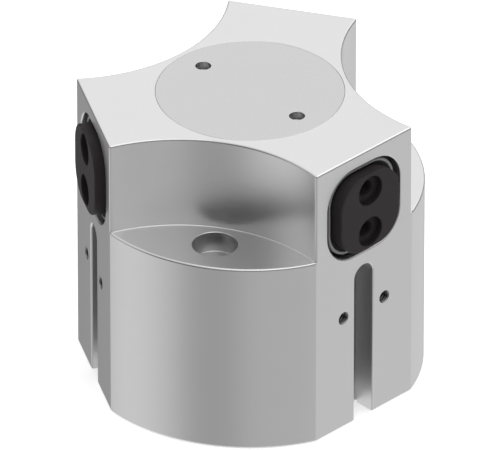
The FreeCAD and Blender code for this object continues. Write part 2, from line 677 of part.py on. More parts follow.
# End cap, its seal and the ring that holds it
CAP_RADIUS = "(Dim.cap_dia / 2 - Dim.seat_gap)"
CAP_SEAL_FLOOR = "(Dim.cap_dia / 2 - Dim.cap_seal_width)"
CAP_SEAL_LOW = "(" + CAP_LOW + " + Dim.cap_thickness / 2 - Dim.cap_seal_height / 2)"
turned("end_cap", [
    ("0", CAP_LOW),
    (CAP_RADIUS, CAP_LOW),
    (CAP_RADIUS, CAP_SEAL_LOW),
    (CAP_SEAL_FLOOR, CAP_SEAL_LOW),
    (CAP_SEAL_FLOOR, CAP_SEAL_LOW + " + Dim.cap_seal_height"),
    (CAP_RADIUS, CAP_SEAL_LOW + " + Dim.cap_seal_height"),
    (CAP_RADIUS, CAP_TOP),
    ("0", CAP_TOP),
])
turned("end_cap_seal", ring_section(
    CAP_SEAL_FLOOR + " + Dim.seat_gap", CAP_SEAL_LOW + " + Dim.seat_gap", CAP_RADIUS,
    CAP_SEAL_LOW + " + Dim.cap_seal_height - Dim.seat_gap"))
ring = turned("retaining_ring", ring_section(
    "Dim.ring_inner_dia / 2", RING_LOW, "Dim.ring_groove_dia / 2 - Dim.seat_gap", CAP_LOW))
sketch = new_sketch(ring, "XY_Plane", RING_LOW)
reach = "Dim.ring_groove_dia * cos(Dim.ring_gap_angle / 2)"
spread = "Dim.ring_groove_dia * sin(Dim.ring_gap_angle / 2)"
draw_outline(sketch, [("0", "0"), (reach, "-" + spread), (reach, spread)])
pocket(ring, sketch, "Dim.ring_thickness", along_normal=True)

doc.recompute()
pieces = [item for item in doc.Objects if item.TypeId == "PartDesign::Body"]
for item in doc.Objects:
    if "Invalid" in item.State or "Error" in item.State:
        raise RuntimeError("failed object: " + item.Label)
for piece in pieces:
    if piece.Shape.isNull() or not piece.Shape.isValid():
        raise RuntimeError("bad shape: " + piece.Label)
os.makedirs("parts", exist_ok=True)
for piece in pieces:
    piece.Shape.exportStep("parts/" + piece.Label + ".step")
    print(piece.Label, len(piece.Shape.Solids), round(piece.Shape.Volume, 2))
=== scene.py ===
import json
import math

import bmesh
import bpy
from mathutils import Matrix, Vector


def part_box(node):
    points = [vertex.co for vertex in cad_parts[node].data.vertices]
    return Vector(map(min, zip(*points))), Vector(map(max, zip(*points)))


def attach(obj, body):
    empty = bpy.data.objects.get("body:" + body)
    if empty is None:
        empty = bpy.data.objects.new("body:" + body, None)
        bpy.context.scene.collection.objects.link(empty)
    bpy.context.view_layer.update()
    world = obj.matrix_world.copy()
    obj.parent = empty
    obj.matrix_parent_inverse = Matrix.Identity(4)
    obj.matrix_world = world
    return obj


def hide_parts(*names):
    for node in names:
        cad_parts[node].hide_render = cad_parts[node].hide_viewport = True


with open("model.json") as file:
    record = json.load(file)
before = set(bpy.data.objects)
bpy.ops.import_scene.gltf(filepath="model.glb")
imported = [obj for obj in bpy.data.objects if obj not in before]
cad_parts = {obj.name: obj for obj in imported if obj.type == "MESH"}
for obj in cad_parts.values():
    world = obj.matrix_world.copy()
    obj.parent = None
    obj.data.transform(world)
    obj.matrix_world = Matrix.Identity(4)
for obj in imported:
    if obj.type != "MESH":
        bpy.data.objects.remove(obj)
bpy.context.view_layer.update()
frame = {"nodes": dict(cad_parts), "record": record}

MM = 0.001
TURN = 2 * math.pi
CLEAR = 1 * MM          # how far a cutter starts outside the solid that it cuts
CLOSE = 0.1 * MM        # slack of the tests that pick out faces
FINE = 0.01 * MM        # the same where another face lies near

# Heights and reaches read from the frame
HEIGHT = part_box("housing")[1].z
JAW_LOW, JAW_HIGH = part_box("jaw_1")
JAW_FRONT = JAW_HIGH.x
JAW_MID = (JAW_LOW.z + JAW_HIGH.z) / 2
JAW_WIDTH = JAW_HIGH.y - JAW_LOW.y
JAW_HEIGHT = JAW_HIGH.z - JAW_LOW.z
FRAME_LOW, FRAME_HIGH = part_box("wiper_frame_1")
WIPER_BACK = FRAME_LOW.x
WIPER_FRONT = FRAME_HIGH.x
LIP_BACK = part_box("wiper_lip_1")[0].x
COVER_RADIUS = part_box("cover_disc")[1].x
CAP_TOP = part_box("end_cap")[1].z

# Housing
BODY_RADIUS = 40.0 * MM
ARM_HALF = 15.35 * MM
ARM_FACE = math.sqrt(BODY_RADIUS ** 2 - ARM_HALF ** 2)
LEDGE = HEIGHT - 23.0 * MM
POCKET_RADIUS = 38.0 * MM
EDGE = 0.45 * MM                # rounding of the outer edges
FILLET = 0.20 * MM              # rounding at the root of the screw pockets
ARMS = (0, 120, 240)
LEDGES = (60, 180, 300)

# Screw holes and dowel holes, on one circle
BOLT_REACH = 30.1 * MM
BOLT_HOLE_RADIUS = 2.75 * MM
BOLT_HEAD_RADIUS = 5.2 * MM
BOLT_HEAD_DEPTH = 5.1 * MM
BOLT_HEAD_EDGE = 0.1 * MM
BOLT_HEAD_CORNER = 0.15 * MM
DOWELS = (30, 210)
DOWEL_RADIUS = 2.0 * MM
DOWEL_DEPTH = 6.0 * MM
DOWEL_EDGE = 0.3 * MM

# Jaw channels, sensor slots and the threaded holes beside them
CHANNEL_HALF = 11.5 * MM
CHANNEL_CORNER = 8.0 * MM
CHANNEL_BEHIND = 3.0 * MM       # beyond the wiper's back
SLOT_HALF = 2.9 * MM
SLOT_END = HEIGHT - 33.2 * MM   # centre of the round end
SLOT_DEPTH = 6.0 * MM
SLOT_FOOT_HALF = 3.4 * MM
SLOT_FOOT_DEPTH = 1.1 * MM
SIDE_HOLE_HEIGHT = HEIGHT - 41.8 * MM
SIDE_HOLE_REACH = 6.55 * MM
SIDE_HOLE_RADIUS = 1.3 * MM
SIDE_HOLE_DEPTH = 6.0 * MM
SIDE_HOLE_PITCH = 0.7 * MM
SIDE_HOLE_SINK = 0.28 * MM

# Air ports, each at its side of the back and its height
PORTS = ((-1, 7.86 * MM), (1, 26.46 * MM))
PORT_SIDE = 10.0 * MM
PORT_FACE_RADIUS = 4.2 * MM
PORT_FACE_DEPTH = 2.6 * MM
PORT_FACE_FLARE = 0.3 * MM      # over the cutter's length at the mouth
PORT_RADIUS = 2.1 * MM
PORT_DEPTH = 7.0 * MM
PORT_PITCH = 0.8 * MM
PORT_SINK = 0.2 * MM

# Cover disc and end cap
COVER_THICKNESS = 2.8 * MM
COVER_EDGE = 0.06 * MM
COVER_GAP = 0.04 * MM
RECESS_DEPTH = 4.0 * MM
RECESS_EDGE = 0.05 * MM
SPANNER_REACH = 15.2 * MM
SPANNER_RADIUS = 1.8 * MM
SPANNER_DEPTH = 2.0 * MM
SPANNER_EDGE = 0.04 * MM
CAP_BORE = 24.0 * MM
CAP_BORE_EDGE = 0.3 * MM

# Jaws
JAW_CORNER = 6.9 * MM
JAW_EDGE = 0.35 * MM
JAW_BACK = 4.0 * MM             # behind the inclined flank everywhere
JAW_HOLE_REACH = 5.45 * MM      # from the jaw's middle
JAW_HOLE_RADIUS = 1.9 * MM
JAW_HOLE_DEPTH = 10.0 * MM
JAW_HOLE_PITCH = 0.7 * MM
JAW_HOLE_SINK = 0.3 * MM
SLEEVE_RADIUS = 3.67 * MM       # recess for a centring sleeve
SLEEVE_DEPTH = 1.5 * MM
SLEEVE_EDGE = 0.15 * MM
SLEEVE_MOUTH = 4.2 * MM         # the cutter in front of the jaw
FLANK_REACH = 8.0 * MM          # driver's flank at the height of the jaw's underside
FLANK_LEAN = 0.6
FLANK_GAP = 0.1 * MM
HOOK_REACH = 4.4 * MM           # into the driver
HOOK_TRIM = 0.4 * MM            # off the hook's top and underside
HOOK_NECK = (-0.6 * MM, 2.5 * MM)       # nearest reach into the driver, half width
HOOK_HEAD = (2.2 * MM, 4.0 * MM)

# Wiper frames and lips
WIPER_RISE = 1.5 * MM           # rim before the flange
WIPER_RIM = 1.05 * MM
WIPER_EDGE = 0.22 * MM
WIPER_GAP = 0.03 * MM
LIP_GAP = 0.06 * MM
LIP_REACH = 0.45 * MM
LIP_SEAT = 0.02 * MM
LIP_CORNER = JAW_CORNER - 0.3 * MM


def about_axis(angle):
    return Matrix.Rotation(math.radians(angle), 4, "Z")


# Local Z of an outline's extrusion turned to point outward along the first arm
OUTWARD = Matrix(((0, 0, 1, 0), (1, 0, 0, 0), (0, 1, 0, 0), (0, 0, 0, 1)))
# Local X kept outward and local Y turned up, for outlines seen from the side
UPRIGHT = Matrix.Rotation(math.radians(90), 4, "X")


def new_piece(name, mesh_maker, place=Matrix()):
    """An object whose mesh is made by a function and put in its place in the frame."""
    mesh = bpy.data.meshes.new(name)
    form = bmesh.new()
    mesh_maker(form)
    bmesh.ops.recalc_face_normals(form, faces=form.faces)
    form.transform(place)
    if form.calc_volume(signed=True) < 0:
        bmesh.ops.reverse_faces(form, faces=form.faces)
    form.to_mesh(mesh)
    form.free()
    piece = bpy.data.objects.new(name, mesh)
    bpy.context.scene.collection.objects.link(piece)
    return piece


def stack(name, sections, place=Matrix()):
    """A solid through (height, outline) sections along local Z, all with as many points."""
    def make(form):
        rings = [[form.verts.new((x, y, height)) for x, y in outline]
                 for height, outline in sections]
        form.faces.new(rings[0])
        form.faces.new(rings[-1])
        for first, second in zip(rings, rings[1:]):
            for index in range(len(first)):
                after = (index + 1) % len(first)
                form.faces.new((first[index], first[after], second[after], second[index]))
    return new_piece(name, make, place)


def prism(name, outline, low, high, place=Matrix()):
    """A straight extrusion of a closed outline along local Z."""
    return stack(name, [(low, outline), (high, outline)], place)


def lathe(name, profile, steps, place=Matrix()):
    """A solid of revolution about local Z from (radius, height) points; radius 0 closes an end."""
    def make(form):
        rings = []
        for radius, height in profile:
            if radius == 0:
                rings.append([form.verts.new((0, 0, height))])
                continue
            rings.append([form.verts.new((radius * math.cos(TURN * k / steps),
                                          radius * math.sin(TURN * k / steps), height))
                          for k in range(steps)])
        for first, second in zip(rings, rings[1:]):
            for k in range(steps):
                after = (k + 1) % steps
                corners = [first[k % len(first)], first[after % len(first)],
                           second[after % len(second)], second[k % len(second)]]
                form.faces.new(list(dict.fromkeys(corners)))
    return new_piece(name, make, place)


def arc(centre, radius, start, end, steps):
    """Points along an arc, angles in degrees, both ends included."""
    points = []
    for k in range(steps + 1):
        angle = math.radians(start + (end - start) * k / steps)
        points.append((centre[0] + radius * math.cos(angle), centre[1] + radius * math.sin(angle)))
    return points


def square(half_width, half_height, corner, middle=0.0, steps=16):
    """A rounded rectangle, counterclockwise."""
    across = half_width - corner
    up = half_height - corner
    points = []
    for turn, (side, rise) in zip((0, 90, 180, 270), ((1, 1), (-1, 1), (-1, -1), (1, -1))):
        points += arc((side * across, middle + rise * up), corner, turn, turn + 90, steps)
    return points


def apply_modifiers(piece):
    depsgraph = bpy.context.evaluated_depsgraph_get()
    mesh = bpy.data.meshes.new_from_object(piece.evaluated_get(depsgraph))
    old = piece.data
    piece.modifiers.clear()
    piece.data = mesh
    bpy.data.meshes.remove(old)


def combine(piece, operation, others):
    """Applies other solids to the piece one after another and removes them."""
    for other in others:
        modifier = piece.modifiers.new(operation.lower(), "BOOLEAN")
        modifier.operation = operation
        modifier.solver = "MANIFOLD"
        modifier.object = other
    apply_modifiers(piece)
    for other in others:
        mesh = other.data
        bpy.data.objects.remove(other)
        bpy.data.meshes.remove(mesh)


def cut(piece, cutters):
    combine(piece, "DIFFERENCE", cutters)


def join(piece, additions):
    combine(piece, "UNION", additions)


def round_edges(piece, width, segments=3, angle=35):
    """Rounds the edges that bend by at least an angle."""
    form = bmesh.new()
    form.from_mesh(piece.data)
    weight = form.edges.layers.float.new("bevel_weight_edge")
    for edge in form.edges:
        if math.degrees(edge.calc_face_angle(0)) >= angle:
            edge[weight] = 1
    form.to_mesh(piece.data)
    form.free()
    modifier = piece.modifiers.new("edges", "BEVEL")
    modifier.width = width
    modifier.segments = segments
    modifier.limit_method = "WEIGHT"
    modifier.use_clamp_overlap = False
    apply_modifiers(piece)


def smooth(piece, angle=40, slight=4, ratio=20):
    """Smooth shading, with a sharp edge where the bend is strong, or more than slight between
    a face and one that is many times larger, so that wide faces stay flat beside roundings."""
    form = bmesh.new()
    form.from_mesh(piece.data)
    for face in form.faces:
        face.smooth = True
    for edge in form.edges:
        if len(edge.link_faces) != 2:
            continue
        bend = math.degrees(edge.calc_face_angle(0))
        areas = sorted(face.calc_area() for face in edge.link_faces)
        edge.smooth = bend < slight or (bend < angle and areas[1] < ratio * areas[0])
    form.to_mesh(piece.data)
    form.free()


def thread_profile(radius, depth, pitch, chamfer, tip):
    """Half section of a tapped hole as a cutter, with its mouth at height 0 and its end below."""
    groove = 0.4 * pitch
    points = [(0, 2 * chamfer), (radius + 3 * chamfer, 2 * chamfer), (radius + chamfer, 0),
              (radius, -chamfer)]
    height = -chamfer
    while height - pitch > -depth:
        points += [(radius, height - 0.15 * pitch), (radius + groove, height - 0.5 * pitch),
                   (radius, height - 0.85 * pitch)]
        height -= pitch
    points += [(radius, -depth), (0, -depth - tip * radius)]
    return points


def sunk_thread(recess, depth, thread):
    """A tapped hole at the bottom of a recess of that depth, given by its own half section."""
    return recess + [(radius, height - depth) for radius, height in thread[2:]]


# Materials
def new_material(name):
    material = bpy.data.materials.new(name)
    material.use_nodes = True
    return material, material.node_tree


def feed(tree, socket, value):
    """Links a socket to another one, or sets its own value."""
    if isinstance(value, bpy.types.NodeSocket):
        tree.links.new(value, socket)
    else:
        socket.default_value = value


def calculate(tree, operation, first, second=0.0):
    node = tree.nodes.new("ShaderNodeMath")
    node.operation = operation
    feed(tree, node.inputs[0], first)
    feed(tree, node.inputs[1], second)
    return node.outputs["Value"]


def map_range(tree, source, start, end, low, high, kind="LINEAR"):
    """Leads a value from low to high while the source goes from start to end."""
    ramp = tree.nodes.new("ShaderNodeMapRange")
    ramp.interpolation_type = kind
    ramp.inputs["From Min"].default_value = start
    ramp.inputs["From Max"].default_value = end
    ramp.inputs["To Min"].default_value = low
    ramp.inputs["To Max"].default_value = high
    tree.links.new(source, ramp.inputs["Value"])
    return ramp.outputs["Result"]


def mix_colours(tree, factor, first, second):
    mix = tree.nodes.new("ShaderNodeMix")
    mix.data_type = "RGBA"
    feed(tree, mix.inputs["A"], first)
    feed(tree, mix.inputs["B"], second)
    tree.links.new(factor, mix.inputs["Factor"])
    return mix.outputs["Result"]


def object_place(tree):
    """The place on the object, in metres."""
    return tree.nodes.new("ShaderNodeTexCoord").outputs["Object"]


def light_path(tree, ray):
    return tree.nodes.new("ShaderNodeLightPath").outputs[ray]


def noise(tree, scale, detail, stretch=None):
    """A noise over the object's own coordinates."""
    place = object_place(tree)
    if stretch:
        mapping = tree.nodes.new("ShaderNodeMapping")
        mapping.inputs["Scale"].default_value = stretch
        tree.links.new(place, mapping.inputs["Vector"])
        place = mapping.outputs["Vector"]
    texture = tree.nodes.new("ShaderNodeTexNoise")
    texture.inputs["Scale"].default_value = scale
    texture.inputs["Detail"].default_value = detail
    tree.links.new(place, texture.inputs["Vector"])
    return texture.outputs["Fac"]


def grey(value):
    return (value, value, value)


def surface(name, dark, light, roughness, metallic=1.0, grain=2500.0, bump=0.05, cloud=60.0,
            stretch=None, specular=0.5, uneven=0.03):
    """A surface with fine grain, a faint cloud of colour and an uneven sheen."""
    material, tree = new_material(name)
    shader = tree.nodes["Principled BSDF"]
    clouds = noise(tree, cloud, 3.0)
    fine = noise(tree, grain, 2.0, stretch)
    tree.links.new(mix_colours(tree, clouds, (*dark, 1), (*light, 1)), shader.inputs["Base Color"])
    tree.links.new(map_range(tree, fine, 0.3, 0.7, roughness - uneven, roughness + uneven),
                   shader.inputs["Roughness"])
    shader.inputs["Metallic"].default_value = metallic
    shader.inputs["Specular IOR Level"].default_value = specular
    relief = tree.nodes.new("ShaderNodeBump")
    relief.inputs["Strength"].default_value = bump
    relief.inputs["Distance"].default_value = 0.02 * MM
    tree.links.new(fine, relief.inputs["Height"])
    tree.links.new(relief.outputs["Normal"], shader.inputs["Normal"])
    return material


def paint_light_toward_foot(material, colour, full, gone):
    """Painted light: leads the colour over to another, lighter one toward the foot of the object,
    between two heights.
    """
    tree = material.node_tree
    socket = tree.nodes["Principled BSDF"].inputs["Base Color"]
    split = tree.nodes.new("ShaderNodeSeparateXYZ")
    tree.links.new(object_place(tree), split.inputs[0])
    share = map_range(tree, split.outputs["Z"], full, gone, 1, 0)
    mixed = mix_colours(tree, share, socket.links[0].from_socket, (*colour, 1))
    tree.links.new(mixed, socket)


BRUSHED = (0.12, 0.12, 2.5)     # draws the grain out along the faces, level with the floor
SATIN = surface("satin_aluminium", grey(0.65), grey(0.67), 0.31, grain=1200.0, bump=0.008,
                stretch=BRUSHED, uneven=0.015)
# Painted shade: a darker copy of the aluminium for the counterbores' walls, which are also really
# rougher
MILLED_PAINTED_SHADE = surface("milled_aluminium_painted_shade", grey(0.51), grey(0.55), 0.40, bump=0.02)
# Painted shade and light: a darker copy of the aluminium for the slots' walls, painted lighter
# toward their open foot
SLOT_PAINTED_SHADE_AND_LIGHT = surface("slot_painted_shade_and_light", grey(0.51), grey(0.55), 0.40, bump=0.02)
paint_light_toward_foot(SLOT_PAINTED_SHADE_AND_LIGHT, grey(0.75), 4 * MM, 8.5 * MM)
# Painted shade: a darker copy of the aluminium for the cover's spanner holes
BORE_PAINTED_SHADE = surface("bore_painted_shade", grey(0.48), grey(0.52), 0.18, bump=0.02, uneven=0.01)
# Painted shade: a near black copy of the aluminium for the jaw channels' walls
CHANNEL_PAINTED_SHADE = surface("channel_painted_shade", grey(0.02), grey(0.03), 0.30, bump=0.02)
# Painted shade: a darker copy of the aluminium for the side holes' countersinks
COUNTERSINK_PAINTED_SHADE = surface("countersink_painted_shade", grey(0.20), grey(0.24), 0.34, bump=0.02)
# Painted shade: a dark copy of the aluminium for the side holes' threads
THREAD_PAINTED_SHADE = surface("thread_painted_shade", grey(0.09), grey(0.11), 0.25, bump=0.02)
COVER = surface("cover_aluminium", grey(0.535), grey(0.55), 0.28, grain=6000.0, bump=0.003,
                uneven=0.01)
INNER = surface("inner_aluminium", (0.52, 0.52, 0.53), (0.58, 0.58, 0.59), 0.30,
                stretch=(1, 1, 12))
STEEL = surface("hardened_steel", (0.42, 0.42, 0.43), (0.48, 0.48, 0.49), 0.28,
                stretch=(1, 8, 1))
BRONZE = surface("bush_bronze", (0.50, 0.33, 0.14), (0.56, 0.38, 0.18), 0.34)
BLACK = surface("jaw_black", (0.0300, 0.0265, 0.0270), (0.0350, 0.0305, 0.0315), 0.45,
                metallic=0.0, bump=0.03, specular=0.09)
# Painted shade: a darker copy of the jaw's black for its holes
JAW_HOLE_PAINTED_SHADE = surface("jaw_hole_black", (0.0180, 0.0160, 0.0164), (0.0220, 0.0195, 0.0200), 0.45,
                 metallic=0.0, bump=0.03, specular=0.09)
GREY = surface("wiper_grey", grey(0.20), grey(0.25), 0.32, metallic=0.0, bump=0.02, specular=0.7)
# Painted shade: a near black copy of the wiper grey for the frame's flange behind its rim
FLANGE_PAINTED_SHADE = surface("flange_painted_shade", grey(0.014), grey(0.018), 0.5, metallic=0.0, bump=0.02,
                   specular=0.2)
RUBBER = surface("seal_rubber", grey(0.008), grey(0.012), 0.6, metallic=0.0, bump=0.1,
                 specular=0.12)
MAGNET = surface("magnet_band", (0.05, 0.05, 0.055), (0.07, 0.07, 0.075), 0.55, metallic=0.0,
                 bump=0.1)

SLOT_MATERIALS = {
    "body_aluminium": SATIN,
    "cover_aluminium": COVER,
    "inner_aluminium": INNER,
    "seal_rubber": RUBBER,
    "wiper_grey": GREY,
    "hardened_steel": STEEL,
    "jaw_black": BLACK,
    "bush_bronze": BRONZE,
    "magnet": MAGNET,
}
for entry in frame["record"]["subparts"]:
    mesh = frame["nodes"][entry["node"]].data
    mesh.materials.clear()
    mesh.materials.append(SLOT_MATERIALS[entry["material_slot"]])


def dress(piece, material, slot_name, body, *nodes):
    """Gives a finished piece its shading, material and body, and the nodes it stands for; the slot
    name is not used.
    """
    smooth(piece)
    piece.data.materials.clear()
    piece.data.materials.append(material)
    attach(piece, body)
    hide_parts(*nodes)


def shade(piece, material, inside):
    """Gives the faces for which a test of their centre holds a second material."""
    piece.data.materials.append(material)
    second = len(piece.data.materials) - 1
    for polygon in piece.data.polygons:
        if inside(polygon.center):
            polygon.material_index = second


# Places painted as shade with darker copies of their material, the slots also painted lighter
# toward the foot, as tests written for the first arm or ledge
def at_any(angles, test):
    """Tries a place against a test at each of the angles in turn."""
    return lambda centre: any(test(about_axis(-angle) @ centre) for angle in angles)


def in_bolt_head(centre):
    """The upright wall of a counterbore, without its floor: rougher, and painted darker as shade.
    """
    within = LEDGE - BOLT_HEAD_DEPTH + CLOSE < centre.z < LEDGE - 2 * CLOSE
    return within and math.hypot(centre.x - BOLT_REACH, centre.y) < BOLT_HEAD_RADIUS + CLOSE


# The walls of a sensor slot, painted darker as shade and painted lighter toward the foot as light
def in_slot(centre):
    within = ARM_FACE - SLOT_DEPTH - CLOSE < centre.x < ARM_FACE - EDGE
    return within and centre.z < SLOT_END + SLOT_HALF and abs(centre.y) < SLOT_FOOT_HALF + FINE


def in_channel(centre):
    """The walls of a jaw's channel that show beside the wiper, painted near black as shade."""
    within = ARM_FACE - 4 * MM < centre.x < ARM_FACE - EDGE
    return within and abs(centre.y) < CHANNEL_HALF + FINE and centre.z > SLOT_END + SLOT_HALF


def near_side_hole(centre):
    across = abs(centre.y) - SIDE_HOLE_REACH
    return math.hypot(across, centre.z - SIDE_HOLE_HEIGHT) < 2 * MM


# The threads of a side hole, painted dark as shade
def in_side_hole(centre):
    within = ARM_FACE - SIDE_HOLE_DEPTH - MM < centre.x < ARM_FACE - SIDE_HOLE_SINK
    return within and near_side_hole(centre)


# The countersink at a side hole's mouth, painted darker as shade
def in_side_sink(centre):
    within = ARM_FACE - SIDE_HOLE_SINK < centre.x < ARM_FACE - FINE
    return within and near_side_hole(centre)


def in_spanner_hole(centre):
    """The walls and floors of the cover disc's two holes, painted darker as shade."""
    within = HEIGHT - SPANNER_DEPTH - 0.5 * MM < centre.z < HEIGHT - FINE
    return within and math.hypot(centre.x, centre.y) < SPANNER_REACH + SPANNER_RADIUS + MM


def in_jaw_hole(centre):
    """The walls of a jaw's two recessed holes, painted darker than the jaw as shade."""
    across = math.hypot(centre.y, abs(centre.z - JAW_MID) - JAW_HOLE_REACH)
    end = SLEEVE_DEPTH + JAW_HOLE_DEPTH + 0.5 * MM
    return across < SLEEVE_RADIUS + CLOSE and JAW_FRONT - end < centre.x < JAW_FRONT - CLOSE


def in_flange(centre):
    """The flat flange of a wiper frame, behind its raised rim, painted near black as shade."""
    return WIPER_BACK - CLOSE < centre.x < WIPER_FRONT - WIPER_RISE + CLOSE


# Housing
ROUNDING = [math.radians(18 * k) for k in range(6)]     # a quarter turn in steps


def pocket_centre():
    """Reach of the screw pockets' arc centre, so that the arc meets the arms' corners."""
    corner = ARM_FACE * 0.5 + ARM_HALF * math.sqrt(0.75)
    return corner + math.sqrt(corner ** 2 - BODY_RADIUS ** 2 + POCKET_RADIUS ** 2)


def on_circle(point, radius):
    scale = radius / math.hypot(*point)
    return (point[0] * scale, point[1] * scale)


def body_outline(arms, between_arms, pockets, fillet=0.0):
    """Outline of the foot, or of the arms between the screw pockets, as a core whose edges lie
    one rounding radius inside the real form, grown by a distance at the arms and one between.
    A fillet's reach moves the pocket walls outward, up to the edge of the ledge."""
    face = ARM_FACE - EDGE
    rim = BODY_RADIUS - EDGE
    if pockets:
        reach = pocket_centre()
        centre = (reach / 2, reach * math.sqrt(0.75))
        radius = POCKET_RADIUS + EDGE
        half = centre[1] - math.sqrt(radius ** 2 - (face - centre[0]) ** 2)
        lean = math.degrees(math.atan2(centre[1] - half, centre[0] - face))
        between = arc(centre, radius - between_arms, lean + 180, 300 - lean, 90)
        if fillet:
            wall = arc(centre, radius - between_arms - fillet, lean + 180, 300 - lean, 90)
            between = [near if math.hypot(*near) > rim else
                       (far if math.hypot(*far) < rim else on_circle(far, rim))
                       for near, far in zip(between, wall)]
    else:
        half = math.sqrt(rim ** 2 - face ** 2)
        lean = math.degrees(math.atan2(half, face))
        between = arc((0, 0), rim + between_arms, lean, 120 - lean, 90)
    arm = arc((face, -half), arms, -lean, 0, 6) + arc((face, half), arms, 0, lean, 6)
    points = []
    for angle in ARMS:
        turn = math.radians(angle)
        for x, y in arm + between[1:-1]:
            points.append((x * math.cos(turn) - y * math.sin(turn),
                           x * math.sin(turn) + y * math.cos(turn)))
    return points


def shell():
    """The housing's outside: foot, ledges and arms in one stack of outlines."""
    least = 0.005 * MM      # keeps the arms' corner arcs from closing to a point
    rise = [EDGE * (1 - math.cos(turn)) for turn in ROUNDING]
    reach = [max(least, EDGE * math.sin(turn)) for turn in ROUNDING]
    foot = [(low, body_outline(grown, grown, False)) for low, grown in zip(rise, reach)]
    ledge = [(LEDGE - low, body_outline(EDGE, grown, False)) for low, grown in zip(rise, reach)]
    top = [(HEIGHT - low, body_outline(grown, grown, True)) for low, grown in zip(rise, reach)]
    root = [(LEDGE + 2 * least + FILLET * (1 - math.cos(turn)),
             body_outline(EDGE, EDGE, True, FILLET * (1 - math.sin(turn)))) for turn in ROUNDING]
    return stack("housing_shell", foot + ledge[::-1] + root + top[::-1])


def flared(name, outline, start, end, place):
    """A cutter whose outline, a function of a margin, widens by the rounding at its mouth."""
    sections = [(start, outline(0))]
    for turn in ROUNDING:
        sections.append((end - EDGE * (1 - math.sin(turn)), outline(EDGE * (1 - math.cos(turn)))))
    sections.append((end + 2 * CLEAR, outline(EDGE)))
    return stack(name, sections, place)


def slot_outline(margin):
    half = SLOT_HALF + margin
    return [(-half, -CLEAR), (half, -CLEAR)] + arc((0, SLOT_END), half, 0, 180, 24)


def channel_outline(margin):
    half = CHANNEL_HALF + margin
    return square(half, half, CHANNEL_CORNER + margin, JAW_MID)


def arm_cutters(angle):
    """The jaw channel, the sensor slot and the two threaded holes of an arm."""
    place = about_axis(angle) @ OUTWARD
    slot_back = ARM_FACE - SLOT_DEPTH
    foot = [(-SLOT_FOOT_HALF, -CLEAR), (SLOT_FOOT_HALF, -CLEAR), (SLOT_FOOT_HALF, SLOT_END),
            (-SLOT_FOOT_HALF, SLOT_END)]
    cutters = [flared("channel", channel_outline, WIPER_BACK - CHANNEL_BEHIND, ARM_FACE, place),
               flared("slot", slot_outline, slot_back, ARM_FACE, place),
               prism("slot_foot", foot, slot_back - FINE, slot_back + SLOT_FOOT_DEPTH, place)]
    for side in (-1, 1):
        mouth = Matrix.Translation((side * SIDE_HOLE_REACH, SIDE_HOLE_HEIGHT, ARM_FACE))
        profile = thread_profile(SIDE_HOLE_RADIUS, SIDE_HOLE_DEPTH, SIDE_HOLE_PITCH,
                                 SIDE_HOLE_SINK, 0.5)
        cutters.append(lathe("side_hole", profile, 40, place @ mouth))
    return cutters


def bolt_cutter(angle):
    """A screw hole with its counterbore."""
    radius = BOLT_HEAD_RADIUS
    profile = [(0, CLEAR), (radius + BOLT_HEAD_EDGE, CLEAR), (radius + BOLT_HEAD_EDGE, 0),
               (radius, -BOLT_HEAD_EDGE)]
    profile += [(radius - BOLT_HEAD_CORNER * (1 - math.cos(turn)),
                 BOLT_HEAD_CORNER * (1 - math.sin(turn)) - BOLT_HEAD_DEPTH) for turn in ROUNDING]
    profile += [(BOLT_HOLE_RADIUS, -BOLT_HEAD_DEPTH), (BOLT_HOLE_RADIUS, -LEDGE - CLEAR),
                (0, -LEDGE - CLEAR)]
    mouth = about_axis(angle) @ Matrix.Translation((BOLT_REACH, 0, LEDGE))
    return lathe("bolt_hole", profile, 72, mouth)


def port_cutter(side, height):
    """An air port: a thread in a spot face, on the side away from the first arm."""
    face = [(0, 2 * MM), (PORT_FACE_RADIUS + PORT_FACE_FLARE, 2 * MM), (PORT_FACE_RADIUS, -MM),
            (PORT_FACE_RADIUS, -PORT_FACE_DEPTH)]
    thread = thread_profile(PORT_RADIUS, PORT_DEPTH, PORT_PITCH, PORT_SINK, 0.4)
    mouth = Matrix.Translation((-BODY_RADIUS, side * PORT_SIDE, height))
    mouth = mouth @ Matrix.Rotation(math.radians(-90), 4, "Y")
    return lathe("port", sunk_thread(face, PORT_FACE_DEPTH, thread), 48, mouth)


def dowel_cutter(angle):
    profile = [(0, -CLEAR), (DOWEL_RADIUS + 2 * DOWEL_EDGE, -DOWEL_EDGE),
               (DOWEL_RADIUS, DOWEL_EDGE), (DOWEL_RADIUS, DOWEL_DEPTH), (0, DOWEL_DEPTH)]
    mouth = about_axis(angle) @ Matrix.Translation((BOLT_REACH, 0, 0))
    return lathe("dowel", profile, 48, mouth)


